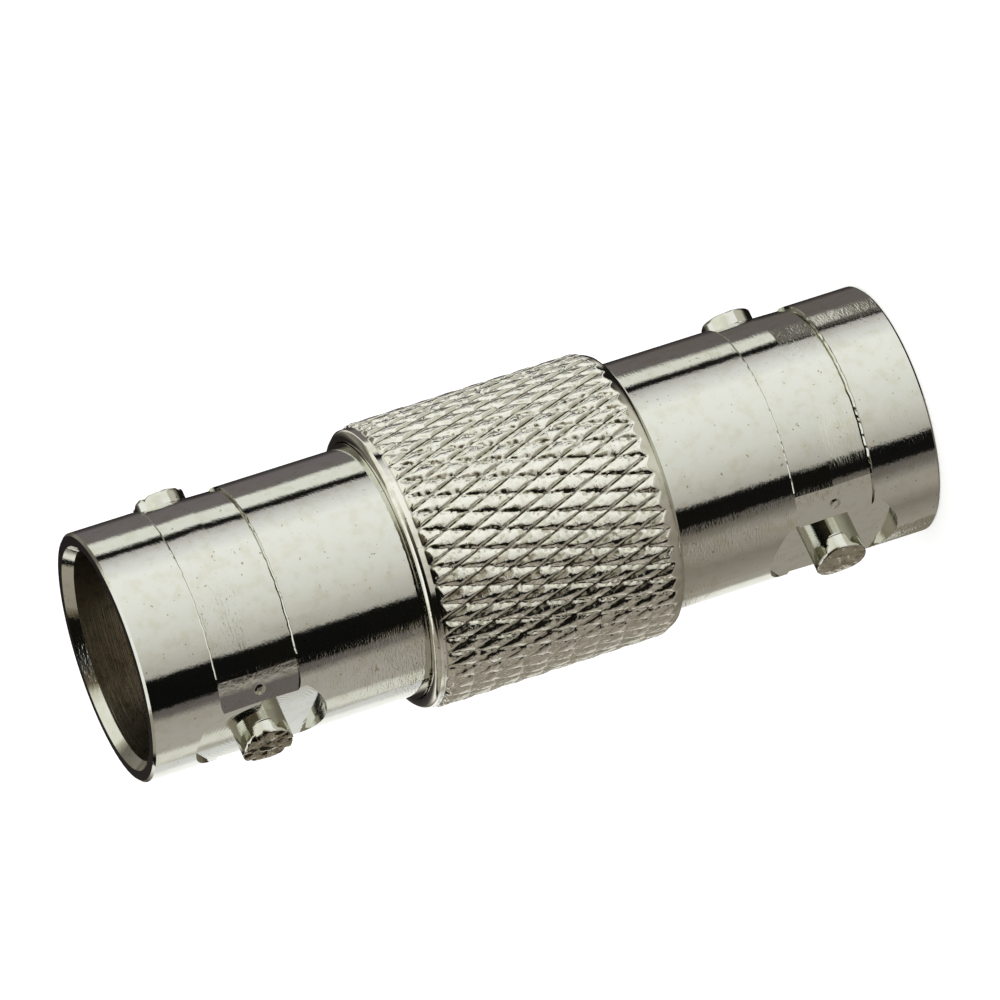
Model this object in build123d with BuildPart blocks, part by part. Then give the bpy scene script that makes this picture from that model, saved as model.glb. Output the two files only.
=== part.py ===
"""Straight coupler with a bayonet jack at each end and a diamond-knurled grip between them.

Sizes are in millimetres. The coupler stands on its rear jack: z is 0 at the rear mouth and runs up
the axis to the front mouth. The bayonet lugs of both jacks lie on the X axis.
"""
from math import ceil, cos, pi, radians, sin, tan
import os

from build123d import *

# Turned outside
overall_length = 31.8
barrel_radius = 4.825
lug_height = 0.735  # above the barrel
rear_jack_length = 10.65
front_jack_length = 10.98

# Mouth of each jack
jack_wall = 0.725
jack_bore_depth = 8.4
lead_in_width = 0.25
lead_in_depth = 0.38
rim_chamfer = 0.17

# Bayonet lugs and the flats that are milled round them
lug_from_mouth = 4.3
lug_radius = 1.0
hollow_mill_width = 1.6
hollow_mill_depth = 0.375  # of the flat round a lug below the barrel
band_depth = 0.105  # cut by the corners of the band mill
band_mill_radius = 1.5875
band_mill_dish = 0.045  # its end is hollowed, so the middle of the band stands this much prouder
band_mill_turn = 28.0  # degrees from a lug to the last stand of the band mill
mill_clearance = 0.64

# Diamond knurl
knurl_teeth = 48
knurl_right_helix = 17.2  # degrees
knurl_left_helix = 21.8
knurl_depth = 0.22  # from the tops down to where two grooves cross
knurl_peak = 0.16  # from the tops up to where the four flanks of a diamond would meet
knurl_end_depth = 0.09  # from the tops down to the smooth ring at each end of the knurl
knurl_seat = 0.04  # from the crossings down to the turned core
knurl_lap = 0.06  # overlap of the knurled sleeve and the core

# Smooth ring and rounding of the grip on each side of its knurl
rear_ring_width = 0.55
least_front_ring = 0.35
bend_depth = 0.2  # from the tops in to the bend of the rounding
bend_share = 0.58  # how far from the knurl to the end of the grip the bend lies
grip_end_depth = 0.43  # from the tops in to the flat end of the grip

# Inside of the shells
web_thickness = 1.2
web_hole_radius = 2.42
chamber_step = 0.52  # from the bore of a jack in to the chamber behind its web
spigot_wall = 0.92  # the front shell's spigot is a press fit in the body
spigot_length = 2.92
collar_step = 0.155
collar_proud = 0.08
collar_depth = 0.4
collar_clearance = 0.04

# Insulators and centre contact
insulator_from_mouth = 3.3
insulator_clearance = 0.03
insulator_edge = 0.15
contact_from_mouth = 3.4
contact_radius = 1.05
contact_clearance = 0.03
contact_collar_radius = 1.7
contact_collar_half = 0.6
collar_end_play = 0.02
socket_radius = 0.675
socket_depth = 5.5
socket_lead = 0.18
slot_width = 0.25
slot_depth = 4.0

# Stations along the axis
grip_rear = rear_jack_length
grip_front = overall_length - front_jack_length
front_lug = overall_length - lug_from_mouth
rear_lug = lug_from_mouth
front_web = overall_length - jack_bore_depth - web_thickness
rear_web = jack_bore_depth + web_thickness
middle = (front_web + rear_web) / 2
collar_front = grip_front + collar_proud
collar_seat = grip_front - collar_depth
spigot_end = collar_seat - spigot_length

# Radii that follow from the sizes above
bar_radius = barrel_radius + lug_height  # round bar, which the knurl tops and lug tips still show
jack_bore_radius = barrel_radius - jack_wall
chamber_radius = jack_bore_radius - chamber_step
lead_in_radius = jack_bore_radius + lead_in_width
lug_floor = barrel_radius - hollow_mill_depth
hollow_mill_radius = lug_radius + hollow_mill_width
band_radius = barrel_radius - band_depth
mill_reach = bar_radius + mill_clearance
spigot_radius = chamber_radius + spigot_wall
collar_radius = barrel_radius + collar_step
collar_recess_radius = collar_radius + collar_clearance
insulator_nose_radius = web_hole_radius - insulator_clearance
insulator_flange_radius = chamber_radius - insulator_clearance
contact_hole_radius = contact_radius + contact_clearance
collar_pocket_radius = contact_collar_radius + contact_clearance
collar_pocket_half = contact_collar_half + collar_end_play
knurl_valley_radius = bar_radius - knurl_depth
knurl_ring_radius = bar_radius - knurl_end_depth
knurl_core_radius = knurl_valley_radius - knurl_seat

# The two families of grooves cross on rows, each turned by a share of a tooth from the one below
knurl_pitch = 2 * pi * bar_radius / knurl_teeth
right_rise = tan(radians(knurl_right_helix))
left_rise = tan(radians(knurl_left_helix))
knurl_row = knurl_pitch / (right_rise + left_rise)
knurl_row_shift = right_rise / (right_rise + left_rise)
grip_knurl_start = grip_rear + rear_ring_width
grip_knurl_rows = int((grip_front - least_front_ring - grip_knurl_start) / knurl_row)
grip_knurl_end = grip_knurl_start + grip_knurl_rows * knurl_row
lug_knurl_rows = ceil(2 * lug_radius / knurl_row)
lug_ring_width = lug_knurl_rows * knurl_row  # ring of bar left at a lug before it is milled away


def polygon(*corners):
    return Face(Wire.make_polygon(corners, close=True))


def knurled_sleeve(low, rows):
    """Sleeve with a full diamond knurl, from z = low up over this many rows of crossings.

    Each diamond has four flat flanks, which run down to the crossings round it, and a flat top. On
    the first and the last row the grooves run out into the smooth ring, and no diamond stands.
    """

    def lattice(radius, tooth, row):
        turn = 2 * pi * (tooth + row * knurl_row_shift) / knurl_teeth
        return Vector(radius * cos(turn), radius * sin(turn), low + row * knurl_row)

    def crossing(tooth, row):
        ends = row in (0, rows)
        return lattice(knurl_ring_radius if ends else knurl_valley_radius, tooth, row)

    faces = []
    for tooth in range(knurl_teeth):
        for row in range(1, rows):
            peak = lattice(bar_radius + knurl_peak, tooth - 0.5, row)
            outward = Vector(peak.X, peak.Y, 0).normalized()
            feet = (
                crossing(tooth, row),
                crossing(tooth - 1, row + 1),
                crossing(tooth - 1, row),
                crossing(tooth, row - 1),
            )
            top = []
            for foot in feet:
                share = knurl_peak / outward.dot(peak - foot)
                top.append(peak + (foot - peak) * share)
            faces.append(polygon(*top))
            for side in range(4):
                after = (side + 1) % 4
                faces.append(polygon(top[side], feet[side], feet[after], top[after]))
        # Run-outs between the tips of the first and of the last diamonds
        faces.append(polygon(crossing(tooth, 0), crossing(tooth - 1, 1), crossing(tooth - 1, 0)))
        faces.append(
            polygon(crossing(tooth - 1, rows), crossing(tooth, rows - 1), crossing(tooth, rows))
        )
    for row in (0, rows):
        faces.append(polygon(*(crossing(tooth, row) for tooth in range(knurl_teeth))))
    bar = Solid(Shell(faces))
    core = Solid.make_cylinder(
        knurl_core_radius - knurl_lap, rows * knurl_row, Plane.XY.offset(low)
    )
    return bar - core


def turned(points):
    """Solid turned about Z from an outline of radius and height pairs."""
    with BuildSketch(Plane.XZ) as outline:
        with BuildLine():
            Polyline(*points, close=True)
        make_face()
    revolve(outline.sketch, axis=Axis.Z)


def radial_plane(turn, distance, station):
    """Plane square to the radius at this turn in degrees, at a distance from the axis."""
    out = Vector(cos(radians(turn)), sin(radians(turn)), 0)
    return Plane(origin=out * distance + Vector(0, 0, station), x_dir=(0, 0, 1), z_dir=out)


def mill_lugs(station):
    """Mills the ring at a lug station down to two round lugs on the X axis."""
    sweep = 180 - 2 * band_mill_turn
    band_middle = band_radius + band_mill_dish
    for side in (0, 180):
        # Hollow mill that leaves the round lug standing on a flat
        with BuildSketch(radial_plane(side, lug_floor, station)) as hollow_mill:
            Circle(hollow_mill_radius)
            Circle(lug_radius, mode=Mode.SUBTRACT)
        extrude(hollow_mill.sketch, amount=mill_reach - lug_floor, mode=Mode.SUBTRACT)
        # End mill that runs round the barrel from one lug to the other
        with BuildSketch(Plane.XZ.rotated((0, 0, side + band_mill_turn))) as band:
            with BuildLine():
                Polyline(
                    (band_middle, station),
                    (band_radius, station + band_mill_radius),
                    (mill_reach, station + band_mill_radius),
                    (mill_reach, station - band_mill_radius),
                    (band_radius, station - band_mill_radius),
                    close=True,
                )
            make_face()
        revolve(band.sketch, axis=Axis.Z, revolution_arc=sweep, mode=Mode.SUBTRACT)
        for turn in (side + band_mill_turn, side + 180 - band_mill_turn):
            stand = radial_plane(turn, 0, station)
            add(band_mill.part.moved(stand.location), mode=Mode.SUBTRACT)


def jack_outline(mouth, inward, ring_radius):
    """Outline of a jack from its web hole out to the barrel behind the lug ring.

    mouth is the height of the jack's mouth, and inward is the direction from it into the coupler.
    """
    lug = mouth + inward * lug_from_mouth
    ring = inward * lug_ring_width / 2
    floor = mouth + inward * jack_bore_depth
    return [
        (web_hole_radius, floor + inward * web_thickness),
        (web_hole_radius, floor),
        (jack_bore_radius, floor),
        (jack_bore_radius, mouth + inward * lead_in_depth),
        (lead_in_radius, mouth),
        (barrel_radius, mouth),
        (barrel_radius, lug - ring),
        (ring_radius, lug - ring),
        (ring_radius, lug + ring),
        (barrel_radius, lug + ring),
    ]


def rims(part, radius, station):
    """Turned edges of this radius at this height."""
    circles = part.edges().filter_by(GeomType.CIRCLE)
    return circles.filter_by(lambda edge: abs(edge.radius - radius) < 0.001).filter_by_position(
        Axis.Z, station - 0.001, station + 0.001
    )


def bend(knurl_end, grip_end):
    """Height of the bend in the rounding between one end of the knurl and that of the grip."""
    return knurl_end + bend_share * (grip_end - knurl_end)


# Band mill, cutting along X
with BuildPart() as band_mill:
    turned(
        [
            (0, band_radius + band_mill_dish),
            (band_mill_radius, band_radius),
            (band_mill_radius, mill_reach),
            (0, mill_reach),
        ]
    )

# Body: the grip and the rear jack are turned from one bar, and the grip is knurled
with BuildPart() as knurled_body:
    turned(
        jack_outline(0, 1, bar_radius)
        + [
            (barrel_radius, grip_rear),
            (bar_radius - grip_end_depth, grip_rear),
            (bar_radius - bend_depth, bend(grip_knurl_start, grip_rear)),
            (knurl_ring_radius, grip_knurl_start),
            (knurl_core_radius, grip_knurl_start),
            (knurl_core_radius, grip_knurl_end),
            (knurl_ring_radius, grip_knurl_end),
            (bar_radius - bend_depth, bend(grip_knurl_end, grip_front)),
            (bar_radius - grip_end_depth, grip_front),
            (collar_recess_radius, grip_front),
            (collar_recess_radius, collar_seat),
            (spigot_radius, collar_seat),
            (spigot_radius, spigot_end),
            (chamber_radius, spigot_end),
            (chamber_radius, rear_web),
        ]
    )
    chamfer(rims(knurled_body.part, barrel_radius, 0), rim_chamfer)
    mill_lugs(rear_lug)
    add(knurled_sleeve(grip_knurl_start, grip_knurl_rows))
knurled_body.part.label = "knurled_body"

# Front jack: turned on its own and pressed into the grip up to its collar
with BuildPart() as front_shell:
    turned(
        jack_outline(overall_length, -1, knurl_core_radius)
        + [
            (barrel_radius, collar_front),
            (collar_radius, collar_front),
            (collar_radius, collar_seat),
            (spigot_radius, collar_seat),
            (spigot_radius, spigot_end),
            (chamber_radius, spigot_end),
            (chamber_radius, front_web),
        ]
    )
    chamfer(rims(front_shell.part, barrel_radius, overall_length), rim_chamfer)
    add(knurled_sleeve(front_lug - lug_ring_width / 2, lug_knurl_rows))
    mill_lugs(front_lug)
front_shell.part.label = "front_shell"


def insulator(mouth, inward):
    """Turned insulator: a nose in the jack, a flange in the chamber and a pocket for the collar."""
    tip = mouth + inward * insulator_from_mouth
    web = mouth + inward * (jack_bore_depth + web_thickness)
    turned(
        [
            (contact_hole_radius, tip),
            (insulator_nose_radius, tip),
            (insulator_nose_radius, web),
            (insulator_flange_radius, web),
            (insulator_flange_radius, middle),
            (collar_pocket_radius, middle),
            (collar_pocket_radius, middle - inward * collar_pocket_half),
            (contact_hole_radius, middle - inward * collar_pocket_half),
        ]
    )


with BuildPart() as rear_insulator:
    insulator(0, 1)
    chamfer(rims(rear_insulator.part, insulator_nose_radius, insulator_from_mouth), insulator_edge)
rear_insulator.part.label = "rear_insulator"

with BuildPart() as front_insulator:
    insulator(overall_length, -1)
    chamfer(
        rims(front_insulator.part, insulator_nose_radius, overall_length - insulator_from_mouth),
        insulator_edge,
    )
front_insulator.part.label = "front_insulator"

# Centre contact: one rod with a slotted socket at each end, held by its collar
with BuildPart() as centre_contact:
    with BuildSketch(Plane.XY.offset(contact_from_mouth)):
        Circle(contact_radius)
    extrude(amount=overall_length - 2 * contact_from_mouth)
    with BuildSketch(Plane.XY.offset(middle - contact_collar_half)):
        Circle(contact_collar_radius)
    extrude(amount=2 * contact_collar_half)
    for end, inward in ((contact_from_mouth, 1), (overall_length - contact_from_mouth, -1)):
        with BuildSketch(Plane.XY.offset(end)):
            Circle(socket_radius)
        extrude(amount=inward * socket_depth, mode=Mode.SUBTRACT)
        chamfer(rims(centre_contact.part, socket_radius, end), socket_lead)
        with BuildSketch(Plane.XY.offset(end)):
            Rectangle(4 * contact_radius, slot_width)
            Rectangle(slot_width, 4 * contact_radius)
        extrude(amount=inward * slot_depth, mode=Mode.SUBTRACT)
centre_contact.part.label = "centre_contact"

os.makedirs("parts", exist_ok=True)
export_step(knurled_body.part, "parts/knurled_body.step")
export_step(front_shell.part, "parts/front_shell.step")
export_step(rear_insulator.part, "parts/rear_insulator.step")
export_step(front_insulator.part, "parts/front_insulator.step")
export_step(centre_contact.part, "parts/centre_contact.step")
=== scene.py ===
"""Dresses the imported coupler: two bayonet jacks, a diamond-knurled grip, bright nickel plating.

The coupler stands on its rear mouth at z = 0, and its axis is the Z axis. Sizes named here are in
millimetres and are turned to metres where they meet Blender.
"""
from math import cos, pi, radians, sin, tan

import bmesh
import bpy
import numpy as np
from mathutils import Matrix, Vector, noise


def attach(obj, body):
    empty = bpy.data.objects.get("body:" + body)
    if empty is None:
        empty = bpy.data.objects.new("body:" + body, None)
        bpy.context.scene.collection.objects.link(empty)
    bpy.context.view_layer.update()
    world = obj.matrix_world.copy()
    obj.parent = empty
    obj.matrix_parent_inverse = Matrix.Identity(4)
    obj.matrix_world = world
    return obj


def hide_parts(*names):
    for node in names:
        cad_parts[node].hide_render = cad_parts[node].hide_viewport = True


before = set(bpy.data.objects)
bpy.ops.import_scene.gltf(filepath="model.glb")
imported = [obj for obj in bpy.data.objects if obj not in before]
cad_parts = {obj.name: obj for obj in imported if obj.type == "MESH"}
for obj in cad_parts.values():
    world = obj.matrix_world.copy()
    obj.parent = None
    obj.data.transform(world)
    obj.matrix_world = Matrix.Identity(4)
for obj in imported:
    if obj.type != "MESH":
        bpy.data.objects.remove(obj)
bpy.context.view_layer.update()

MM = 0.001

# Sizes that the part's source gives too
COUPLER_LENGTH = 31.8
BAR_RADIUS = 5.56
BARREL_RADIUS = 4.825
LUG_RADIUS = 1.0
FRONT_LUG = 27.5
REAR_LUG = 4.3
LUG_FLOOR = 4.45
JACK_BORE_RADIUS = 4.1
BAND_MILL_RADIUS = 1.5875
BAND_MILL_TURN = 28.0
KNURL_TEETH = 48
RIGHT_HELIX = 17.2  # degrees
LEFT_HELIX = 21.8
KNURL_START = 11.2
KNURL_ROWS = 9
GRIP_REAR = 10.65
GRIP_FRONT = 20.82

KNURL_PITCH = 2 * pi * BAR_RADIUS / KNURL_TEETH
KNURL_ROW = KNURL_PITCH / (tan(radians(RIGHT_HELIX)) + tan(radians(LEFT_HELIX)))
ROW_SHIFT = tan(radians(RIGHT_HELIX)) * KNURL_ROW / KNURL_PITCH
KNURL_END = KNURL_START + KNURL_ROWS * KNURL_ROW
KNURL_FULL = 0.135  # height of the knurl's tops over the bottoms of its grooves


def linear(code):
    """Turns an sRGB hex colour into the linear colour that Blender's sockets take."""
    values = []
    for at in (1, 3, 5):
        value = int(code[at:at + 2], 16) / 255
        values.append(value / 12.92 if value <= 0.04045 else ((value + 0.055) / 1.055) ** 2.4)
    return (*values, 1.0)


def add(tree, kind, settings=None, **sockets):
    """Adds one node; a socket takes a value, or (node, output) to be linked from."""
    made = tree.nodes.new(kind)
    for name, value in (settings or {}).items():
        setattr(made, name, value)
    for name, value in sockets.items():
        key = int(name[1:]) if name[0] == "_" and name[1:].isdigit() else name.replace("_", " ")
        if isinstance(value, tuple) and len(value) == 2 and isinstance(value[0], bpy.types.Node):
            tree.links.new(value[0].outputs[value[1]], made.inputs[key])
        else:
            made.inputs[key].default_value = value
    return made


def sums(tree, operation, first, second, third=None):
    """One step of arithmetic on numbers or node outputs, given as (node, output)."""
    sockets = {"_0": first, "_1": second}
    if third is not None:
        sockets["_2"] = third
    return add(tree, "ShaderNodeMath", {"operation": operation}, **sockets), 0


# Camera at the photograph's place, found from the ends, the grip and the lugs of the coupler
CAMERA_AZIMUTH = 64.0
CAMERA_ELEVATION = 15.48
CAMERA_ROLL = -107.73
CAMERA_DISTANCE = 348.04
CAMERA_RISE = 1.182
CAMERA_SLIDE = -0.022
CAMERA_LENS = 335.35


def photo_camera():
    """Stands the camera where the photograph was taken from."""
    data = bpy.data.cameras.new("photo_camera")
    data.sensor_width = 36
    data.lens = CAMERA_LENS
    data.clip_start = 0.01
    data.clip_end = 20
    camera = bpy.data.objects.new("photo_camera", data)
    bpy.context.scene.collection.objects.link(camera)
    turn, lift = radians(CAMERA_AZIMUTH), radians(CAMERA_ELEVATION)
    back = Vector((cos(lift) * cos(turn), cos(lift) * sin(turn), sin(lift)))
    spin = back.to_track_quat("Z", "Y").to_matrix() @ Matrix.Rotation(radians(CAMERA_ROLL), 3, "Z")
    place = Vector((0, 0, COUPLER_LENGTH / 2)) + spin @ Vector(
        (CAMERA_SLIDE, CAMERA_RISE, CAMERA_DISTANCE)
    )
    camera.matrix_world = Matrix.Translation(place * MM) @ spin.to_4x4()
    bpy.context.scene.camera = camera


# Light tent round the coupler, seen only in its metal: white cloth, grey card and black flags.
# Each ring of it has its tones by the angle in degrees from the camera's side, as (angle, tone).
# The first three are the rings that the front barrel, the rear barrel and the grip mirror.
TENT_AT_FRONT = (
    (-180, "#ffffff"),
    (-148, "#ffffff"),
    (-140, "#dfe0e2"),
    (-134, "#dfe0e2"),
    (-130, "#b5b2ac"),
    (-126, "#b5b2ac"),
    (-122, "#e8e7e2"),
    (-112, "#e4e3de"),
    (-107, "#b3aea9"),
    (-88, "#b2aca8"),
    (-72, "#aaa49e"),
    (-66, "#6c6666"),
    (-61, "#625c5b"),
    (-59, "#0e0e0e"),
    (-31, "#111111"),
    (-28, "#b6b2ae"),
    (-8, "#d5d3cf"),
    (8, "#e7e7e5"),
    (40, "#fafaf9"),
    (64, "#ffffff"),
    (80, "#e2e2e4"),
    (90, "#bcb8ba"),
    (92, "#151413"),
    (98, "#151413"),
    (101, "#edeeea"),
    (116, "#edeeea"),
    (120, "#767071"),
    (148, "#6e686a"),
    (156, "#4a4545"),
    (172, "#262323"),
    (180, "#262323"),
)
TENT_AT_REAR = (
    (-180, "#f4f4f0"),
    (-146, "#f4f4f0"),
    (-140, "#a9a49c"),
    (-120, "#9c968e"),
    (-96, "#878179"),
    (-80, "#a39d95"),
    (-68, "#a7a19b"),
    (-58, "#797470"),
    (-50, "#65605e"),
    (-48, "#151414"),
    (-31, "#111111"),
    (-28, "#b6b2ae"),
    (-8, "#d5d3cf"),
    (8, "#e7e7e5"),
    (40, "#fafaf9"),
    (64, "#ffffff"),
    (80, "#e2e2e4"),
    (91, "#bcb8ba"),
    (93, "#151413"),
    (99, "#151413"),
    (102, "#e8e8e2"),
    (113, "#e8e8e2"),
    (119, "#6c6667"),
    (148, "#68625f"),
    (156, "#4a4545"),
    (172, "#262323"),
    (180, "#262323"),
)
TENT_AT_GRIP = (
    (-180, "#8f8a82"),
    (-150, "#9b958a"),
    (-104, "#8d877c"),
    (-66, "#8c857c"),
    (-57, "#7b7469"),
    (-53, "#14130e"),
    (-32, "#14130e"),
    (-28, "#b6b2ae"),
    (-8, "#d5d3cf"),
    (8, "#e7e7e5"),
    (40, "#fafaf9"),
    (64, "#ffffff"),
    (80, "#e2e2e4"),
    (90, "#bcb8ba"),
    (92, "#151413"),
    (98, "#151413"),
    (101, "#edeeea"),
    (116, "#edeeea"),
    (120, "#767071"),
    (148, "#6e686a"),
    (156, "#4a4545"),
    (172, "#262323"),
    (180, "#262323"),
)
# Ring high in the tent, seen in metal that leans up towards the front mouth
TENT_ABOVE = (
    (-180, "#262323"),
    (-162, "#4a4545"),
    (-152, "#9b9690"),
    (-144, "#f0eeea"),
    (-138, "#f0eeea"),
    (-135, "#151413"),
    (-129, "#151413"),
    (-126, "#a49e93"),
    (-76, "#9b938a"),
    (-69, "#6b6355"),
    (-62, "#14130e"),
    (-8, "#111111"),
    (8, "#403a30"),
    (28, "#6a6152"),
    (40, "#d8d6c8"),
    (60, "#fafaf6"),
    (104, "#eeeee4"),
    (110, "#b5b0a5"),
    (118, "#706c66"),
    (150, "#87827a"),
    (158, "#5a5550"),
    (170, "#262323"),
    (180, "#262323"),
)
# Rings of the tent over and under the one that the barrels mirror, seen in the knurl's flanks
TENT_OVER = (
    (-180, "#4a4545"),
    (-150, "#857f77"),
    (-104, "#8d877c"),
    (-68, "#9b938a"),
    (-53, "#8b8479"),
    (-47, "#14130e"),
    (-28, "#14130e"),
    (-14, "#8f897c"),
    (14, "#b0ab9e"),
    (34, "#e4e3da"),
    (60, "#ffffff"),
    (130, "#f6f6ee"),
    (150, "#e8e6dd"),
    (160, "#8f8a82"),
    (168, "#3a3635"),
    (180, "#3a3635"),
)
TENT_UNDER = (
    (-180, "#5a5550"),
    (-150, "#8d877c"),
    (-107, "#8d877c"),
    (-66, "#9c958c"),
    (-54, "#8c857c"),
    (-48, "#14130e"),
    (-39, "#14130e"),
    (-28, "#c8c5bc"),
    (0, "#f0efe8"),
    (60, "#ffffff"),
    (140, "#f2f2ec"),
    (150, "#a8a49c"),
    (158, "#262323"),
    (180, "#262323"),
)
# Ring near the bottom of the tent, seen in the rear shoulder of the grip
TENT_LOW = (
    (-180, "#6b6660"),
    (-120, "#7d776e"),
    (-60, "#8f8a82"),
    (-20, "#a8a49c"),
    (20, "#d3d1c8"),
    (80, "#c4c1b8"),
    (104, "#6a655e"),
    (118, "#1c1a18"),
    (180, "#1c1a18"),
)
TENT_ROOF = ((-180, "#ffffff"),)
# Grey cards that hang in front of the cloth where the rear mouth mirrors it, in degrees
END_CARDS = ((108, 12, "#6e6866"), (-157, 24, "#7d7769"))  # (middle, half width, tone)
CARD_EDGE = 2
TENT_RADIUS = 250.0
TENT_LEVEL = 1.1
# Heights on the coupler, in mm, between which one ring of the tent gives way to another
REAR_TO_FRONT = (12, 20)
REAR_BARREL_TO_GRIP = (10.7, 11.1)
FRONT_BARREL_TO_GRIP = (20.5, 20.2)
REAR_BARREL_TO_END = (3.7, 2.9)


def tent_ring(tree, share, tones):
    """One ring of the tent's cloth and cards, as a ramp round the axis."""
    ring = add(tree, "ShaderNodeValToRGB", Fac=share)
    stops = ring.color_ramp.elements
    while len(stops) > 1:
        stops.remove(stops[-1])
    for index, (angle, tone) in enumerate(tones):
        at = (angle + 180) / 360
        stop = stops[0] if index == 0 else stops.new(at)
        stop.position = at
        stop.color = linear(tone)
    return ring, "Color"


def smooth(tree, value, low, high):
    """0 below low, 1 above high and a smooth rise between them."""
    return add(
        tree,
        "ShaderNodeMapRange",
        {"interpolation_type": "SMOOTHSTEP"},
        Value=value,
        From_Min=low,
        From_Max=high,
    ), 0


def blend(tree, share, first, second):
    """Mixes two colours by a share from 0 to 1."""
    return add(tree, "ShaderNodeMix", {"data_type": "RGBA"}, _0=share, _6=first, _7=second), 2


def mirrored_at(z):
    """Height on the tent, from its middle, that the side of a barrel mirrors at a height z."""
    lift = radians(CAMERA_ELEVATION)
    spread = 1 + TENT_RADIUS * cos(lift) ** 2 / CAMERA_DISTANCE
    return -TENT_RADIUS * sin(lift) - (COUPLER_LENGTH / 2 - z) * spread


def mirrored_share(tree, height, heights):
    """0 on the tent where the barrels mirror it at the first height, and 1 at the second."""
    start, whole = heights
    return smooth(tree, height, mirrored_at(start) * MM, mirrored_at(whole) * MM)


def light_tent():
    """A ball round the coupler that only its reflections show."""
    material = bpy.data.materials.new("light_tent")
    material.use_nodes = True
    material.cycles.emission_sampling = "NONE"
    tree = material.node_tree
    tree.nodes.clear()
    place = add(tree, "ShaderNodeTexCoord")
    parts = add(tree, "ShaderNodeSeparateXYZ", Vector=(place, "Object"))
    turn = sums(tree, "ARCTAN2", (parts, "Y"), (parts, "X"))
    off = sums(tree, "SUBTRACT", turn, radians(CAMERA_AZIMUTH))
    wrapped = sums(tree, "WRAP", off, pi, -pi)
    share = add(tree, "ShaderNodeMapRange", Value=wrapped, From_Min=-pi, From_Max=pi), 0
    height = (parts, "Z")
    ring = blend(
        tree,
        mirrored_share(tree, height, REAR_TO_FRONT),
        tent_ring(tree, share, TENT_AT_REAR),
        tent_ring(tree, share, TENT_AT_FRONT),
    )
    at_grip = sums(
        tree,
        "MULTIPLY",
        mirrored_share(tree, height, REAR_BARREL_TO_GRIP),
        mirrored_share(tree, height, FRONT_BARREL_TO_GRIP),
    )
    ring = blend(tree, at_grip, ring, tent_ring(tree, share, TENT_AT_GRIP))
    at_end = mirrored_share(tree, height, REAR_BARREL_TO_END)
    for middle, half, tone in END_CARDS:
        from_card = sums(tree, "ABSOLUTE", sums(tree, "SUBTRACT", wrapped, radians(middle)), 0.0)
        card = smooth(tree, from_card, radians(half + CARD_EDGE), radians(half))
        ring = blend(tree, sums(tree, "MULTIPLY", at_end, card), ring, linear(tone))
    # Height at which each further ring starts to show, height at which it is whole, and its tones
    for start, whole, tones in (
        (mirrored_at(0) - 5, mirrored_at(0) - 12, TENT_UNDER),
        (mirrored_at(COUPLER_LENGTH) + 14, mirrored_at(COUPLER_LENGTH) + 24, TENT_OVER),
        (0, 0.14 * TENT_RADIUS, TENT_ABOVE),
        (0.84 * TENT_RADIUS, 0.88 * TENT_RADIUS, TENT_ROOF),
        (-0.5 * TENT_RADIUS, -0.56 * TENT_RADIUS, TENT_LOW),
    ):
        shown = smooth(tree, height, start * MM, whole * MM)
        ring = blend(tree, shown, ring, tent_ring(tree, share, tones))
    glow = add(tree, "ShaderNodeEmission", Color=ring, Strength=TENT_LEVEL)
    add(tree, "ShaderNodeOutputMaterial", Surface=(glow, 0))
    shape = bmesh.new()
    bmesh.ops.create_uvsphere(shape, u_segments=96, v_segments=48, radius=TENT_RADIUS * MM)
    mesh = bpy.data.meshes.new("light_tent")
    shape.to_mesh(mesh)
    shape.free()
    mesh.materials.append(material)
    tent = bpy.data.objects.new("light_tent", mesh)
    tent.location.z = COUPLER_LENGTH / 2 * MM
    tent.visible_camera = False
    tent.visible_diffuse = False
    tent.visible_shadow = False
    tent.visible_transmission = False
    bpy.context.scene.collection.objects.link(tent)


def studio():
    """Even white light from all round, which the cloth of a tent gives."""
    world = bpy.data.worlds.new("studio")
    world.use_nodes = True
    tree = world.node_tree
    tree.nodes.clear()
    light = add(tree, "ShaderNodeBackground", Color=linear("#ffffff"), Strength=1.0)
    add(tree, "ShaderNodeOutputWorld", Surface=(light, 0))
    bpy.context.scene.world = world


TABLE_GLOW = 0.45  # light of its own that the board sends to the camera
TABLE_HALF = 1.5  # metres from its middle to a side


def white_table():
    """Painted white board under the rear mouth, bright to the camera and dimmer where shaded."""
    material = bpy.data.materials.new("white_table")
    material.use_nodes = True
    tree = material.node_tree
    tree.nodes.clear()
    board = add(tree, "ShaderNodeBsdfDiffuse", Color=linear("#e6e6e6"))
    rays = add(tree, "ShaderNodeLightPath")
    level = sums(tree, "MULTIPLY", (rays, "Is Camera Ray"), TABLE_GLOW)
    lit = add(tree, "ShaderNodeEmission", Color=linear("#ffffff"), Strength=level)
    both = add(tree, "ShaderNodeAddShader", _0=(board, 0), _1=(lit, 0))
    add(tree, "ShaderNodeOutputMaterial", Surface=(both, 0))
    corners = [(x * TABLE_HALF, y * TABLE_HALF, 0) for x, y in ((-1, -1), (1, -1), (1, 1), (-1, 1))]
    mesh = bpy.data.meshes.new("floor")
    mesh.from_pydata(corners, [], [(0, 1, 2, 3)])
    mesh.materials.append(material)
    floor = bpy.data.objects.new("floor", mesh)
    floor.location.z = -0.01 * MM
    floor.visible_glossy = False
    bpy.context.scene.collection.objects.link(floor)


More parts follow.
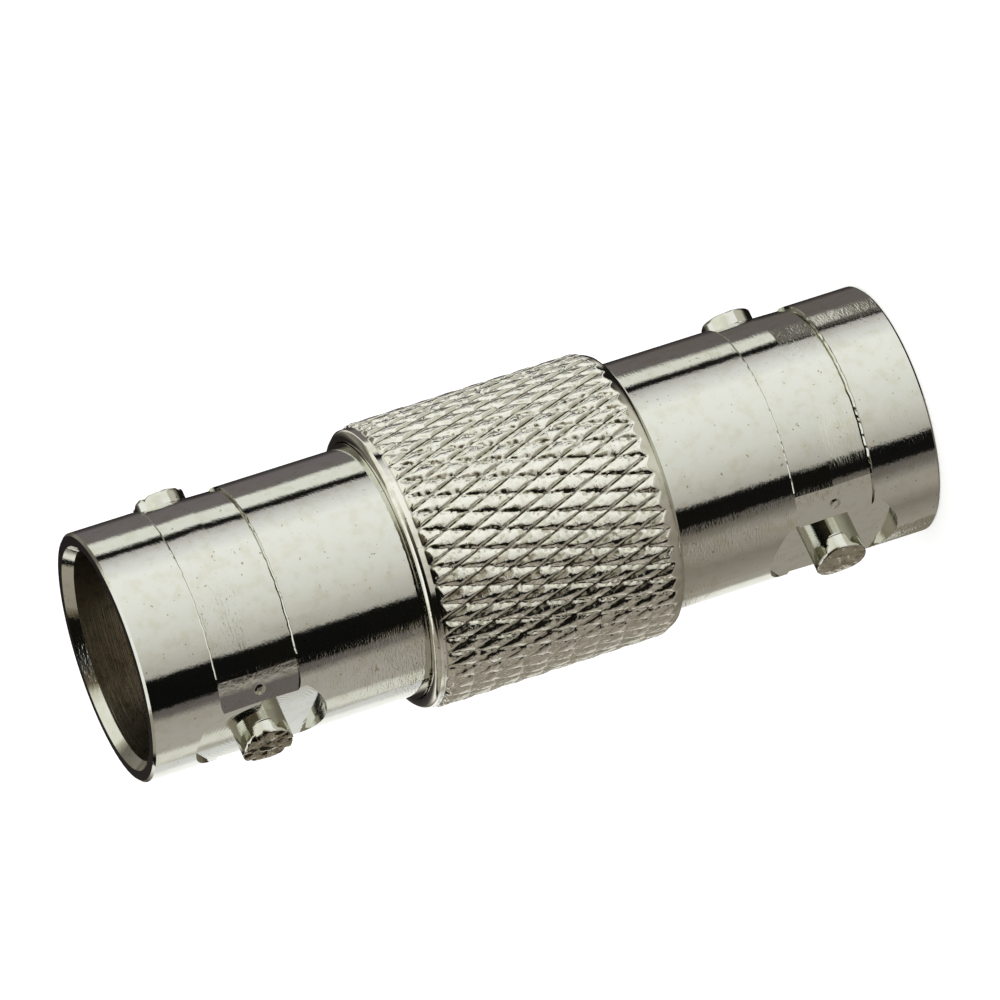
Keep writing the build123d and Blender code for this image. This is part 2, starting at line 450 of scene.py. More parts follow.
# Sizes of the marks in the finishes, in mm. Real lathe lines are about 0.03 mm apart and the grain
# of bright nickel is finer still, too fine to show in a render, so both are drawn coarser here.
NICKEL_GRAIN = 0.1
STAIN, PIT = 0.45, 0.16
TURNING_LINE, TURNING_ARC = 0.08, 0.26
ORANGE_PEEL = 0.7
HOLLOW_MILL_FEED = 0.15  # from one ring to the next on a flat
WORN_PATCH = 0.8
BAND_MILL_FEED = 0.21  # from one ring to the next on a stand
TEAR = 0.32
NIB_FOOT, NIB_TOP = 0.24, 0.08  # radii of the nib in the middle of a stand
BORING_LINE, BORING_ARC, BORE_GRAIN = 0.055, 3.0, 0.12
CRUMB, CRINKLE, KNURL_GRAIN = 0.17, 0.2, 0.06
SLOT_ROWS, SLOT_PLACES, SLOT_DRIFT = 0.52, 1.15, 0.6
PEBBLE = 0.24
MOULD_GRAIN, MOULD_CLOUD = 0.2, 1.5
CONTACT_LINE, CONTACT_ARC, CONTACT_CLOUD = 0.05, 3.0, 0.6
PIT_TONE = "#a39a85"


def arc_place(tree, across, along, depth=1.0):
    """Place on a turned surface, in grains of the given sizes round the axis and along it."""
    place = add(tree, "ShaderNodeTexCoord")
    parts = add(tree, "ShaderNodeSeparateXYZ", Vector=(place, "Object"))
    turn = sums(tree, "ARCTAN2", (parts, "Y"), (parts, "X"))
    arc = sums(tree, "MULTIPLY", turn, BARREL_RADIUS / across)
    level = sums(tree, "MULTIPLY", (parts, "Z"), 1 / (along * MM))
    return add(tree, "ShaderNodeCombineXYZ", X=arc, Y=level, Z=depth), 0


def grains(tree, size, detail=3.0, place=None):
    """Even noise from 0 to 1 with grains of a size in mm, or in a place that is scaled already."""
    if place is None:
        body = add(tree, "ShaderNodeTexCoord")
        place, scale = (body, "Object"), 1 / (size * MM)
    else:
        scale = 1.0
    return add(tree, "ShaderNodeTexNoise", Vector=place, Scale=scale, Detail=detail), "Fac"


def mill_place(tree, turn):
    """Place on the floor of a mill whose axis is turned so many degrees round from the lug's.

    Gives two distances from that axis in mm: the one round the bar, away from the lug, and the
    straight one.
    """
    place = add(tree, "ShaderNodeTexCoord")
    parts = add(tree, "ShaderNodeSeparateXYZ", Vector=(place, "Object"))
    out = sums(tree, "ABSOLUTE", (parts, "X"), 0.0)
    aside = sums(tree, "ABSOLUTE", (parts, "Y"), 0.0)
    left = sums(tree, "MULTIPLY", out, -sin(radians(turn)) / MM)
    across = sums(tree, "MULTIPLY_ADD", aside, cos(radians(turn)) / MM, left)
    from_middle = sums(tree, "SUBTRACT", (parts, "Z"), COUPLER_LENGTH / 2 * MM)
    half = sums(tree, "ABSOLUTE", from_middle, 0.0)
    to_lug = sums(tree, "MULTIPLY_ADD", half, 1 / MM, -(FRONT_LUG - COUPLER_LENGTH / 2))
    squares = sums(tree, "ADD", sums(tree, "MULTIPLY", across, across),
                   sums(tree, "MULTIPLY", to_lug, to_lug))
    return across, sums(tree, "SQRT", squares, 0.0)


def bar_distance(tree):
    """Distance in metres from the coupler's axis."""
    place = add(tree, "ShaderNodeTexCoord")
    flat = add(tree, "ShaderNodeVectorMath", {"operation": "MULTIPLY"}, _0=(place, "Object"))
    flat.inputs[1].default_value = (1, 1, 0)
    return add(tree, "ShaderNodeVectorMath", {"operation": "LENGTH"}, _0=(flat, 0)), "Value"


def groove_shade_and_residue(tree):
    """1 in the bottoms of the knurl's grooves, which are painted darker as shade with some plating
    residue, and 0 elsewhere.
    """
    radius = bar_distance(tree)
    low = smooth(tree, radius, (BAR_RADIUS - 0.115) * MM, (BAR_RADIUS - KNURL_FULL) * MM)
    place = add(tree, "ShaderNodeTexCoord")
    parts = add(tree, "ShaderNodeSeparateXYZ", Vector=(place, "Object"))
    middle = sums(tree, "SUBTRACT", (parts, "Z"), (KNURL_START + KNURL_END) / 2 * MM)
    away = sums(tree, "ABSOLUTE", middle, 0.0)
    inside = smooth(tree, away, (KNURL_END - KNURL_START) / 2 * MM,
                    ((KNURL_END - KNURL_START) / 2 - 0.15) * MM)
    return sums(tree, "MULTIPLY", low, inside)


def nickel(name, colour, stain, roughness, heights, recess_shade_and_residue=None):
    """Bright nickel plated over turned brass.

    The plating levels the tool marks, so it mirrors the tent sharply: near white with a warm cast
    where the nickel is a little yellow, with faint stains and dark specks where it has pits.
    heights gives pairs of a pattern and its height in mm. The last argument gives a pattern that is
    1 in recesses and the dark tone painted there: painted shade, with some plating residue in the
    knurl's grooves.
    """
    material = bpy.data.materials.new(name)
    material.use_nodes = True
    tree = material.node_tree
    tree.nodes.clear()
    level = 0.0
    for pattern, height in heights(tree):
        level = sums(tree, "MULTIPLY_ADD", pattern, height, level)
    relief = add(tree, "ShaderNodeBump", Height=level, Strength=1.0, Distance=MM)
    patches = smooth(tree, grains(tree, STAIN, 5.0), 0.45, 0.72)
    specks = smooth(tree, grains(tree, PIT, 2.0), 0.69, 0.75)
    tone = blend(tree, patches, linear(colour), linear(stain))
    tone = blend(tree, specks, tone, linear(PIT_TONE))
    # Painted shade: recesses get a darker tone, with some plating residue in the knurl's grooves
    if recess_shade_and_residue:
        share, shade_and_residue_tone = recess_shade_and_residue
        tone = blend(tree, share(tree), tone, linear(shade_and_residue_tone))
    metal = add(
        tree,
        "ShaderNodeBsdfPrincipled",
        Base_Color=tone,
        Metallic=1.0,
        Roughness=roughness,
        Normal=(relief, 0),
    )
    add(tree, "ShaderNodeOutputMaterial", Surface=(metal, 0))
    return material


def barrel_heights(tree):
    """Barrels, turned on a lathe and plated bright: fine turning lines and a little orange peel.

    They tear the edges of the mirrored black flags into short streaks round the barrel.
    """
    return (
        (grains(tree, NICKEL_GRAIN), 0.0014),
        (grains(tree, 1.0, 2.0, arc_place(tree, TURNING_ARC, TURNING_LINE)), 0.0026),
        (grains(tree, ORANGE_PEEL, 1.0), 0.005),
    )


def flat_heights(tree):
    """Flats round the lugs, cut by a hollow mill: worn rings round the lug, seen as fine arcs."""
    _, distance = mill_place(tree, 0.0)
    turns = sums(tree, "MULTIPLY", distance, 2 * pi / HOLLOW_MILL_FEED)
    rings = sums(tree, "SINE", turns, 0.0)
    worn = sums(tree, "MULTIPLY", rings, smooth(tree, grains(tree, WORN_PATCH), 0.4, 0.7))
    return ((worn, 0.0013), (grains(tree, NICKEL_GRAIN), 0.001))


def stand_heights(tree):
    """Floors where the band mill was lowered: faint rings, a nib in the middle, one torn side.

    The floor mirrors one tone like a flat glass, broken up into black patches where it is torn.
    """
    across, distance = mill_place(tree, BAND_MILL_TURN)
    torn = sums(tree, "MULTIPLY", smooth(tree, across, 0.1, 0.6), grains(tree, TEAR, 4.0))
    rings = sums(tree, "SINE", sums(tree, "MULTIPLY", distance, 2 * pi / BAND_MILL_FEED), 0.0)
    nib = smooth(tree, distance, NIB_FOOT, NIB_TOP)
    return ((rings, 0.0002), (nib, 0.03), (grains(tree, NICKEL_GRAIN), 0.0012), (torn, 0.026))


def bore_heights(tree):
    """Bores, drilled and bored: rough lines that plating did not level, so dull and streaky."""
    return (
        (grains(tree, 1.0, 3.0, arc_place(tree, BORING_ARC, BORING_LINE)), 0.012),
        (grains(tree, BORE_GRAIN), 0.003),
    )


def knurl_heights(tree):
    """Grip, rolled by a pair of knurling wheels: crumbs on tops that were squeezed up, not cut.

    Bright flanks and tops glitter white and black, while the bottoms of the grooves are painted
    darker, as shade with some plating residue.
    """
    radius = bar_distance(tree)
    tops = smooth(tree, radius, (BAR_RADIUS - 0.1) * MM, (BAR_RADIUS - 0.04) * MM)
    crumbs = sums(tree, "MULTIPLY", tops, smooth(tree, grains(tree, CRUMB, 3.0), 0.56, 0.68))
    crinkle = sums(tree, "MULTIPLY", tops, grains(tree, CRINKLE, 2.0))
    return ((crumbs, 0.005), (crinkle, 0.003), (grains(tree, KNURL_GRAIN), 0.001))


def tip_slots(tree):
    """1 in the rows of small slots that the knurling wheel left on the ends of the front lugs."""
    place = add(tree, "ShaderNodeTexCoord")
    parts = add(tree, "ShaderNodeSeparateXYZ", Vector=(place, "Object"))
    drift = sums(tree, "MULTIPLY", grains(tree, SLOT_DRIFT, 1.0), 3.0)
    rows = sums(tree, "MULTIPLY_ADD", (parts, "Y"), 2 * pi / (SLOT_ROWS * MM), drift)
    places = sums(tree, "MULTIPLY_ADD", (parts, "Z"), 2 * pi / (SLOT_PLACES * MM), drift)
    cut = sums(tree, "MULTIPLY", sums(tree, "SINE", rows, 0.0), sums(tree, "SINE", places, 0.0))
    at_front = smooth(tree, (parts, "Z"), GRIP_REAR * MM, GRIP_FRONT * MM)
    return sums(tree, "MULTIPLY", at_front, smooth(tree, cut, 0.4, 0.65))


def tip_heights(tree):
    """Ends of the lugs, left from the skin of the bar: soft pebbles, and slots on the front ones.

    They mirror the tent blurred and darker, and the slots are painted dark olive, as shade in them.
    """
    return ((tip_slots(tree), -0.05), (grains(tree, PEBBLE, 2.0), 0.025))


def insulator_white():
    """Moulded white plastic: a soft skin, a little waxy, that looks creamy deep in the mouth."""
    material = bpy.data.materials.new("moulded_white_insulator")
    material.use_nodes = True
    tree = material.node_tree
    tree.nodes.clear()
    relief = add(tree, "ShaderNodeBump", Height=grains(tree, MOULD_GRAIN), Strength=0.3,
                 Distance=0.01 * MM)
    tone = blend(tree, grains(tree, MOULD_CLOUD), linear("#efece2"), linear("#ddd8ca"))
    plastic = add(
        tree,
        "ShaderNodeBsdfPrincipled",
        Base_Color=tone,
        Roughness=0.42,
        Subsurface_Weight=0.15,
        Subsurface_Scale=0.4 * MM,
        Normal=(relief, 0),
    )
    add(tree, "ShaderNodeOutputMaterial", Surface=(plastic, 0))
    return material


def contact_gold():
    """Gold plated over turned bronze: warm, with fine rings from the lathe."""
    material = bpy.data.materials.new("gold_plated_contact")
    material.use_nodes = True
    tree = material.node_tree
    tree.nodes.clear()
    lines = grains(tree, 1.0, 2.0, arc_place(tree, CONTACT_ARC, CONTACT_LINE))
    relief = add(tree, "ShaderNodeBump", Height=lines, Strength=0.4, Distance=0.003 * MM)
    tone = blend(tree, grains(tree, CONTACT_CLOUD), linear("#d9b566"), linear("#c79c4c"))
    metal = add(
        tree,
        "ShaderNodeBsdfPrincipled",
        Base_Color=tone,
        Metallic=1.0,
        Roughness=0.2,
        Normal=(relief, 0),
    )
    add(tree, "ShaderNodeOutputMaterial", Surface=(metal, 0))
    return material


# Section of the knurl across each family of grooves, as heights at shares of the pitch from the
# bottom of one groove up round the bar to the bottom of the next: a rounded flank that faces down
# in the photograph, a top that leans up a little and a flank that faces up
ROUND_RISE = ((0, 0), (0.15, 0.26), (0.35, 0.55), (0.55, 0.78), (0.75, 0.92), (1, 1))
ROW_SECTION = (
    0.42,
    ((0.42, 1.0), (0.54, 0.97), (0.66, 0.88), (0.78, 0.72), (0.88, 0.5), (0.95, 0.28), (1, 0.0)),
)
STRIP_SECTION = (0.24, ((0.24, 1.0), (0.5, 1.0), (0.66, 0.82), (0.82, 0.45), (1, -0.15)))
RAGGED = 0.095  # share of the pitch that the edges of the tops wander
SLOW_WANDER, QUICK_WANDER = 0.22, 0.1  # lengths in which they wander from side to side, in mm
SQUEEZED = 0.012  # height by which the tops were squeezed up unevenly


def wander(arc, height, size, seed):
    """Slow random change from about -1 to 1 over the surface of the bar."""
    return np.array([
        noise.noise(Vector((a / size, h / size, seed))) for a, h in zip(arc.ravel(), height.ravel())
    ]).reshape(arc.shape)


def section(across, shape):
    """Height over one pitch, where a rounded rise leads to the straight lines of the rest."""
    rise, rest = shape
    stops = [(at * rise, high) for at, high in ROUND_RISE[:-1]] + list(rest)
    share = across - np.floor(across)
    return KNURL_FULL * np.interp(share, [at for at, high in stops], [high for at, high in stops])


def knurl(tooth, row, turn, height):
    """Height of the knurl above its groove bottoms, at a tooth and a row of crossings."""
    arc = turn * BAR_RADIUS
    slow = wander(arc, height, SLOW_WANDER, 3.7)
    quick = wander(arc, height, QUICK_WANDER, 8.1)
    rows = section(tooth - ROW_SHIFT * row + RAGGED * (slow + 0.5 * quick), ROW_SECTION)
    strips = section(tooth + (1 - ROW_SHIFT) * row + 0.3 * RAGGED * slow, STRIP_SECTION)
    body = np.minimum(rows, strips)
    return body - SQUEEZED * np.clip(body / KNURL_FULL, 0, 1) ** 2 * (quick + 0.8)


GRIP_FINE = 13  # points of the grip's mesh along one pitch and along one row
# Smooth ring and rounded shoulder at each end of the grip, and the limit of the knurl between them
GRIP_PROFILE = (  # (height, radius)
    (10.65, 5.12),
    (10.7, 5.25),
    (10.9, 5.38),
    (11.15, 5.48),
    (11.4, 5.6),
    (20.2, 5.6),
    (20.34, 5.43),
    (20.66, 5.43),
    (20.76, 5.39),
    (20.82, 5.28),
)
KNURL_RUN_IN = 0.12  # length in which the knurl rises from a ring to its full height
FRONT_END_TORN = 0.05  # length by which the front end of the knurl is torn
CORE_RADIUS = 5.06  # inside of the grip's sleeve, where it sits on the turned body


def grip_points():
    """Points of the grip's outside, in rings whose columns lean with one family of grooves."""
    columns = KNURL_TEETH * GRIP_FINE
    first = -int((KNURL_START - GRIP_REAR) / KNURL_ROW * GRIP_FINE)
    last = int((GRIP_FRONT - KNURL_START) / KNURL_ROW * GRIP_FINE)
    steps = np.arange(first, last + 1)
    a, j = np.meshgrid(np.arange(columns), steps)
    row = j / GRIP_FINE
    tooth = (a + ROW_SHIFT * j) / GRIP_FINE
    z = KNURL_START + row * KNURL_ROW
    z[0] = GRIP_REAR
    z[-1] = GRIP_FRONT
    turn = 2 * pi * tooth / KNURL_TEETH
    body = BAR_RADIUS - KNURL_FULL + knurl(tooth, row, turn, z)
    heights, radii = zip(*GRIP_PROFILE)
    ring = np.interp(z, heights, radii)
    torn = FRONT_END_TORN * wander(turn * BAR_RADIUS, z, 0.3, 5.5)
    from_start = z - KNURL_START + KNURL_RUN_IN
    to_end = KNURL_END - 0.02 + torn - z
    fade = np.clip(np.minimum(from_start, to_end) / KNURL_RUN_IN, 0, 1)
    fade = fade * fade * (3 - 2 * fade)
    radius = np.minimum(ring, ring + (body - ring) * fade)
    radius = np.minimum(radius, BAR_RADIUS)
    return np.stack([radius * np.cos(turn), radius * np.sin(turn), z], axis=-1)


def grip_mesh():
    """The outside of the grip: the knurl, its smooth rings and both rounded ends."""
    points = grip_points()
    rings, columns = points.shape[:2]
    turn = np.arctan2(points[..., 1], points[..., 0])
    ends = []
    for ring_at, level in ((0, GRIP_REAR), (-1, GRIP_FRONT)):
        ends.append(np.stack([
            CORE_RADIUS * np.cos(turn[ring_at]),
            CORE_RADIUS * np.sin(turn[ring_at]),
            np.full(columns, level),
        ], axis=-1))
    points = np.concatenate([ends[0][None], points, ends[1][None]])
    rings += 2
    here = np.arange(columns)
    beside = (here + 1) % columns
    before = (here - 1) % columns
    faces = []
    for ring_at in range(rings - 1):
        low = ring_at * columns
        up = low + columns
        faces.append(np.stack([low + here, low + beside, up + here], axis=-1))
        faces.append(np.stack([low + here, up + here, up + before], axis=-1))
    # Inside of the sleeve, where it sits on the turned body
    last = (rings - 1) * columns
    faces.append(np.stack([here, last + here, last + beside], axis=-1))
    faces.append(np.stack([here, last + beside, beside], axis=-1))
    mesh = bpy.data.meshes.new("grip")
    mesh.from_pydata((points.reshape(-1, 3) * MM).tolist(), [], np.concatenate(faces).tolist())
    mesh.shade_smooth()
    for _ in FINISHES:
        mesh.materials.append(None)
    mesh.polygons.foreach_set(
        "material_index", [FINISHES.index("knurl")] * len(mesh.polygons)
    )
    return mesh


def turned_copy(name, node):
    """A copy of a turned shell to be finished, with the CAD's own normals kept on its corners."""
    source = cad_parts[node].data
    mesh = source.copy()
    mesh.name = name
    normals = np.zeros(len(mesh.loops) * 3, np.float32)
    source.corner_normals.foreach_get("vector", normals)
    kept = mesh.attributes.new("turned_normal", "FLOAT_VECTOR", "CORNER")
    kept.data.foreach_set("vector", normals)
    mesh.materials.clear()
    piece = bpy.data.objects.new(name, mesh)
    bpy.context.scene.collection.objects.link(piece)
    return piece


LUG_CUT = 4.87  # distance from the axis at which the lugs of the CAD shells are taken over
LUG_SUNK, LUG_UNEVEN = 0.03, 0.02  # of the ends of the rear lugs, under the bar's radius
# Rings of a lug's end, from its rounded edge to its middle
LUG_RINGS = [(1.0, 0.12), (1.0, 0.04), (0.97, 0.0)]  # (share of the lug's radius, depth)
LUG_RINGS += [(share, 0.0) for share in np.linspace(0.93, 0.05, 24)]


def lug_end(y, z, station, side, knurled):
    """Distance of a lug's end from the plane through the axis, at a place on the end."""
    turn = np.arctan2(y, side * BAR_RADIUS)
    if knurled:
        tooth = turn * KNURL_TEETH / (2 * pi)
        row = (z - station) / KNURL_ROW + 1
        radius = BAR_RADIUS - KNURL_FULL + knurl(tooth, row, turn, z)
    else:
        radius = BAR_RADIUS - LUG_SUNK - LUG_UNEVEN * wander(y * 5, z * 5, 1.3, 4.4)
    return np.sqrt(radius ** 2 - y ** 2)


def cut_faces(shape, faces, point, across, clear_outer=False):
    """Cuts some faces along a plane, and clears what lies outside it if that is asked for."""
    edges = {edge for face in faces for edge in face.edges}
    verts = {vert for face in faces for vert in face.verts}
    bmesh.ops.bisect_plane(
        shape,
        geom=faces + list(edges) + list(verts),
        plane_co=point,
        plane_no=across,
        clear_outer=clear_outer,
    )


def on_lug_cut(vert, side):
    """Whether a corner lies in the plane where a lug is cut."""
    return abs(vert.co.x * side - LUG_CUT * MM) < 1e-7


def lug_stub(shape, station, side):
    """Cuts a lug off above the barrel and gives the corners of its rounded stub, in order."""
    near = 1.3 * LUG_RADIUS * MM
    faces = []
    for face in shape.faces:
        centre = face.calc_center_median()
        beside = max(abs(centre.y), abs(centre.z - station * MM))
        if beside < near and centre.x * side > LUG_FLOOR * MM:
            faces.append(face)
    cut_faces(shape, faces, (side * LUG_CUT * MM, 0, 0), (side, 0, 0), clear_outer=True)
    rim = [
        edge for edge in shape.edges
        if edge.is_boundary and all(on_lug_cut(vert, side) for vert in edge.verts)
    ]
    bmesh.ops.subdivide_edges(shape, edges=rim, cuts=1)
    around = sorted(
        (vert for vert in shape.verts if vert.is_boundary and on_lug_cut(vert, side)),
        key=lambda vert: np.arctan2(vert.co.z - station * MM, vert.co.y),
    )
    for vert in around:
        out = Vector((0, vert.co.y, vert.co.z - station * MM)).normalized() * LUG_RADIUS * MM
        vert.co = Vector((vert.co.x, out.y, station * MM + out.z))
    return around


def finish_lugs(shape, station, knurled):
    """Builds the ends of a shell's lugs anew on their stubs, in rings that close in the middle."""
    for side in (1, -1):
        below = lug_stub(shape, station, side)
        count = len(below)
        angles = [np.arctan2(vert.co.z - station * MM, vert.co.y) for vert in below]
        for share, sunk in LUG_RINGS:
            y = np.array([LUG_RADIUS * share * cos(angle) for angle in angles])
            z = np.array([station + LUG_RADIUS * share * sin(angle) for angle in angles])
            x = side * (lug_end(y, z, station, side, knurled) - sunk)
            above = [shape.verts.new((x[i] * MM, y[i] * MM, z[i] * MM)) for i in range(count)]
            for i in range(count):
                after = (i + 1) % count
                corners = (below[i], below[after], above[after], above[i])
                shape.faces.new(corners[::side]).smooth = True
            below = above
        x = float(lug_end(np.array([0.0]), np.array([station]), station, side, knurled)[0])
        middle = shape.verts.new((side * x * MM, 0, station * MM))
        for i in range(count):
            corners = (below[i], below[(i + 1) % count], middle)
            shape.faces.new(corners[::side]).smooth = True


# Stands of the mills are not quite true: degrees that a floor is turned round the coupler's axis
FRONT_STAND_TILT = 3.5
REAR_STAND_TILT = 0.0
# The front flat is turned too, on each side of the lug: degrees, and degrees more for each mm aside
FRONT_FLAT = {"mouth side": (5.0, 9.0), "grip side": (-4.5, 1.5)}
SAME_WAY = 0.9995  # least cosine between two turned normals at an edge that looks smooth
STAND_REACH = 0.75  # from the middle of a stand to where the band's own curve takes over

FINISHES = ("barrel", "bore", "flat", "stand", "tip", "knurl")


def finish_of(face):
    """The finish that a face of a shell has, from where it lies and which way it looks."""
    centre = face.calc_center_median() / MM
    radius = (centre.x ** 2 + centre.y ** 2) ** 0.5
    outward = (centre.x * face.normal.x + centre.y * face.normal.y) / radius
    from_mouth = min(centre.z, COUPLER_LENGTH - centre.z)
    if abs(abs(centre.x) - LUG_FLOOR) < 0.01 and abs(face.normal.x) > 0.99:
        return "flat"
    if radius < JACK_BORE_RADIUS + 0.01 or (outward < -0.2 and from_mouth > 0.5):
        return "bore"
    if abs(centre.x) > LUG_CUT and abs(face.normal.x) > 0.6:
        return "tip"
    if radius < BARREL_RADIUS - 0.01 and outward > 0.9:
        turn = radians(BAND_MILL_TURN)
        side = abs(centre.y) * cos(turn) - abs(centre.x) * sin(turn)
        from_axis = (side ** 2 + (from_mouth - REAR_LUG) ** 2) ** 0.5  # of the mill
        if from_axis < BAND_MILL_RADIUS and side < STAND_REACH:
            return "stand"
    return "barrel"


def stand_normal(centre, tilt):
    """The way that the flat floor of a band mill's stand looks."""
    turn = radians(BAND_MILL_TURN + tilt)
    out = 1 if centre.x > 0 else -1
    up = 1 if centre.y > 0 else -1
    return Vector((cos(turn) * out, sin(turn) * up, 0))


def settle_normals(shape):
    """Keeps the turned normals, gives new faces soft ones and tilts the floors of the mills."""
    kept = shape.loops.layers.float_vector["turned_normal"]
    shape.normal_update()
    for face in shape.faces:
        finish = FINISHES[face.material_index]
        for loop in face.loops:
            centre = loop.vert.co / MM
            if finish == "stand":
                front = centre.z > COUPLER_LENGTH / 2
                loop[kept] = stand_normal(centre, FRONT_STAND_TILT if front else REAR_STAND_TILT)
            elif finish == "flat":
                out = 1 if centre.x > 0 else -1
                tilt, curl = 0.0, 0.0
                if centre.z > COUPLER_LENGTH / 2:
                    tilt, curl = FRONT_FLAT["mouth side" if centre.z > FRONT_LUG else "grip side"]
                turn = radians(tilt + curl * centre.y * out)
                loop[kept] = Vector((out * cos(turn), out * sin(turn), 0))
    # Sharp edges, where a kept normal has a length of 1 and a corner without one a length of 0
    for edge in shape.edges:
        if len(edge.link_loops) != 2:
            continue
        one, other = edge.link_loops
        pairs = ((one, other.link_loop_next), (one.link_loop_next, other))
        for first, second in pairs:
            if first[kept].length > 0.5 and second[kept].length > 0.5:
                if first[kept].dot(second[kept]) < SAME_WAY:
                    edge.smooth = False
            elif first[kept].length > 0.5 or second[kept].length > 0.5:
                edge.smooth = edge.calc_face_angle(0) < radians(30)
            elif edge.calc_face_angle(0) > radians(50):
                edge.smooth = False


def set_normals(mesh):
    """Gives each corner its kept normal, and Blender's own where none was kept."""
    kept = np.zeros(len(mesh.loops) * 3, np.float32)
    mesh.attributes["turned_normal"].data.foreach_get("vector", kept)
    kept = kept.reshape(-1, 3)
    own = np.zeros(len(mesh.loops) * 3, np.float32)
    mesh.corner_normals.foreach_get("vector", own)
    own = own.reshape(-1, 3)
    missing = np.linalg.norm(kept, axis=1) < 0.5
    kept[missing] = own[missing]
    mesh.attributes.remove(mesh.attributes["turned_normal"])
    mesh.normals_split_custom_set(kept.tolist())


def cut_stands(shape, station):
    """Cuts the faces of the band where the flat stands of the band mill end."""
    turn = radians(BAND_MILL_TURN)
    for out in (1, -1):
        for up in (1, -1):
            across = Vector((-sin(turn) * out, cos(turn) * up, 0))
            along = Vector((cos(turn) * out, sin(turn) * up, 0))
            centre = (along * BARREL_RADIUS + Vector((0, 0, station))) * MM
            faces = [
                face for face in shape.faces
                if face.normal.dot(along) > 0.7
                and (face.calc_center_median() - centre).dot(along) > -0.8 * MM
                and abs(face.calc_center_median().z - centre.z) < BAND_MILL_RADIUS * MM
            ]
            cut_faces(shape, faces, across * STAND_REACH * MM, across)


RIM_CHAMFER = 0.17  # in the part's source
RIM_SEEN = 0.09  # the chamfer as tumbling and plating left it


def seat_sleeve(shape):
    """Draws the outside of the plain grip in, to be the core that the knurled sleeve sits on."""
    for vert in shape.verts:
        radius = (vert.co.x ** 2 + vert.co.y ** 2) ** 0.5
        if radius > CORE_RADIUS * MM and GRIP_REAR - 0.01 < vert.co.z / MM < GRIP_FRONT + 0.01:
            vert.co.x *= CORE_RADIUS * MM / radius
            vert.co.y *= CORE_RADIUS * MM / radius


def narrow_rims(shape):
    """Makes the chamfers round the mouths as narrow as they look."""
    for vert in shape.verts:
        radius = (vert.co.x ** 2 + vert.co.y ** 2) ** 0.5 / MM
        end = 0 if vert.co.z / MM < COUPLER_LENGTH / 2 else COUPLER_LENGTH
        from_mouth = abs(vert.co.z / MM - end)
        if from_mouth < 0.002 and abs(radius - BARREL_RADIUS + RIM_CHAMFER) < 0.02:
            vert.co.x *= (BARREL_RADIUS - RIM_SEEN) / radius
            vert.co.y *= (BARREL_RADIUS - RIM_SEEN) / radius
        elif abs(from_mouth - RIM_CHAMFER) < 0.01 and abs(radius - BARREL_RADIUS) < 0.02:
            vert.co.z = abs(end - RIM_SEEN) * MM


def finish_shell(name, node, station, knurled, materials, sleeve=None):
    """Makes a finished piece of one turned shell, with the knurled sleeve on it if it has one."""
    piece = turned_copy(name, node)
    mesh = piece.data
    for finish in FINISHES:
        mesh.materials.append(materials[finish])
    shape = bmesh.new()
    shape.from_mesh(mesh)
    bmesh.ops.remove_doubles(shape, verts=shape.verts[:], dist=1e-7)
    if sleeve:
        seat_sleeve(shape)
    narrow_rims(shape)
    cut_stands(shape, station)
    finish_lugs(shape, station, knurled)
    shape.normal_update()
    for face in shape.faces:
        face.material_index = FINISHES.index(finish_of(face))
    if sleeve:
        shape.from_mesh(sleeve)
    settle_normals(shape)
    shape.to_mesh(mesh)
    shape.free()
    set_normals(mesh)
    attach(piece, "root")
    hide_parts(node)


BURR_STEP = 0.75  # degrees from one section of a burr to the next
BURR_HEIGHT, BURR_UNEVEN = 0.026, 0.016
BURR_HALF_WIDTH, BURR_ROOT, BURR_KEEL = 0.034, 0.012, 0.03
BURR_WANDER = 0.035  # along the axis
BURR_FROM_STAND = 12  # degrees from the axis of the band mill's stand to the end of a burr
REAR_EDGE_BOLD = 1.7  # times as big, because the mill was dull when it cut the rear edge


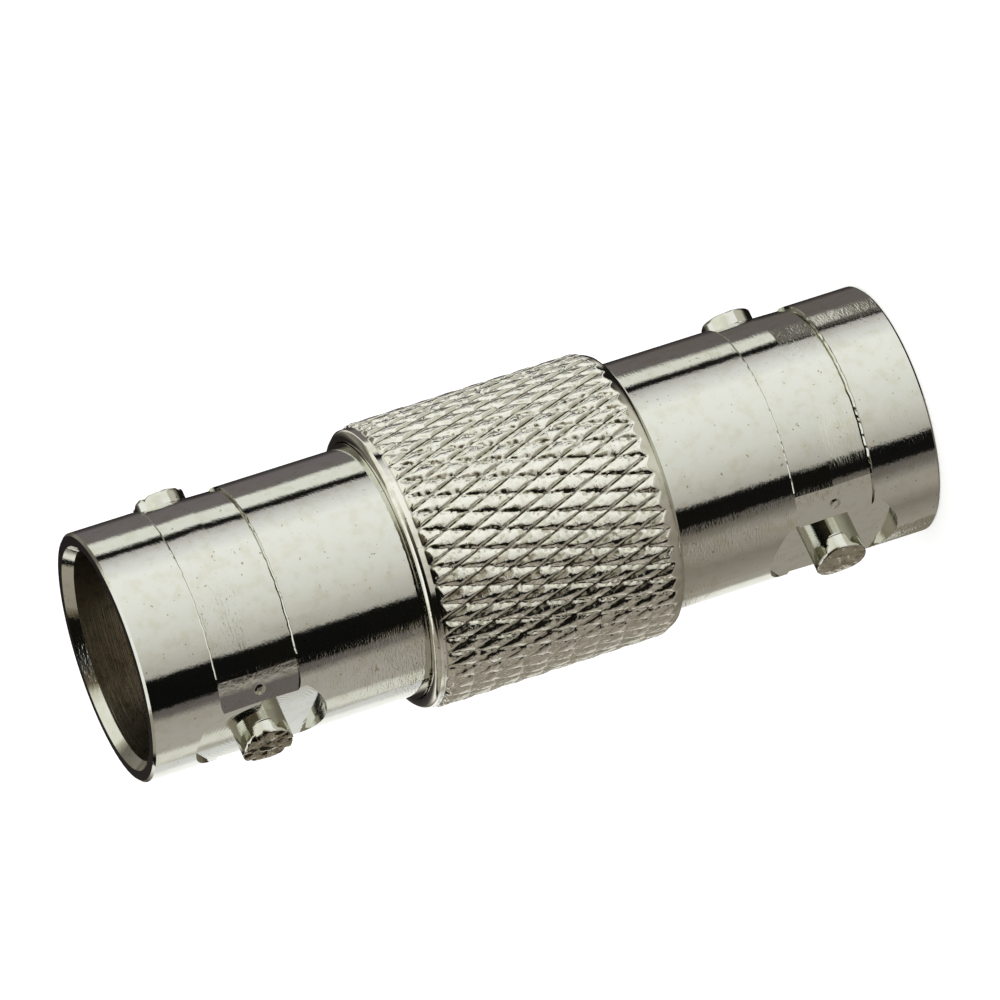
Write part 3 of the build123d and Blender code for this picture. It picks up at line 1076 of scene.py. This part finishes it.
def burr(name, level, start, end, material):
    """Thin lip of metal that a mill pushed up along one edge of its band, a little wavy."""
    count = int((end - start) / BURR_STEP)
    bold = REAR_EDGE_BOLD if level < REAR_LUG else 1.0
    points = []
    for i in range(count + 1):
        turn = radians(start + (end - start) * i / count)
        place = level + BURR_WANDER * noise.noise(Vector((turn * 14, level, 2.2)))
        uneven = BURR_UNEVEN * noise.noise(Vector((turn * 30, level, 7.2)))
        for radius, z in (
            (BARREL_RADIUS - BURR_ROOT, place - BURR_HALF_WIDTH * bold),
            (BARREL_RADIUS + (BURR_HEIGHT + uneven) * bold, place),
            (BARREL_RADIUS - BURR_ROOT, place + BURR_HALF_WIDTH * bold),
            (BARREL_RADIUS - BURR_KEEL, place),
        ):
            points.append((radius * cos(turn) * MM, radius * sin(turn) * MM, z * MM))
    faces = [(3, 2, 1, 0), tuple(4 * count + corner for corner in range(4))]
    for i in range(count):
        for side in range(4):
            after = (side + 1) % 4
            faces.append((4 * i + side, 4 * i + after, 4 * i + 4 + after, 4 * i + 4 + side))
    mesh = bpy.data.meshes.new(name)
    mesh.from_pydata(points, [], faces)
    mesh.materials.append(material)
    piece = bpy.data.objects.new(name, mesh)
    bpy.context.scene.collection.objects.link(piece)
    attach(piece, "root")


bpy.context.scene.view_settings.view_transform = "Standard"
photo_camera()
light_tent()
studio()
white_table()
materials = {
    "barrel": nickel("bright_nickel_barrel", "#dadbd1", "#d3d3c4", 0.05, barrel_heights),
    "bore": nickel("turned_nickel_bore", "#968d7c", "#7d7565", 0.3, bore_heights),
    "flat": nickel("milled_nickel_flat", "#dadbd1", "#d3d3c4", 0.09, flat_heights),
    "stand": nickel("milled_nickel_stand", "#dadbd1", "#d3d3c4", 0.06, stand_heights),
    # Lug tips: the slots are painted dark olive, as shade in them
    "tip": nickel("pressed_nickel_lug_tip", "#b9b4a2", "#8f8877", 0.12, tip_heights,
                  (tip_slots, "#39352a")),
    # Knurl: the groove bottoms are painted darker, as shade with some plating residue
    "knurl": nickel("rolled_nickel_knurl", "#e9e8dd", "#d3d3c4", 0.07, knurl_heights,
                    (groove_shade_and_residue, "#5c574c")),
}
finish_shell("front_jack", "front_shell", FRONT_LUG, True, materials)
finish_shell("grip_and_rear_jack", "knurled_body", REAR_LUG, False, materials, grip_mesh())
for station in (FRONT_LUG, REAR_LUG):
    for edge in (-BAND_MILL_RADIUS, BAND_MILL_RADIUS):
        for half_turn in (0, 180):
            start = half_turn + BAND_MILL_TURN + BURR_FROM_STAND
            end = half_turn + 180 - BAND_MILL_TURN - BURR_FROM_STAND
            name = "band_burr_%d_%d" % (round(10 * (station + edge)), start)
            burr(name, station + edge, start, end, materials["barrel"])
white = insulator_white()
for name in ("rear_insulator", "front_insulator"):
    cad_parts[name].material_slots[0].material = white
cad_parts["centre_contact"].material_slots[0].material = contact_gold()
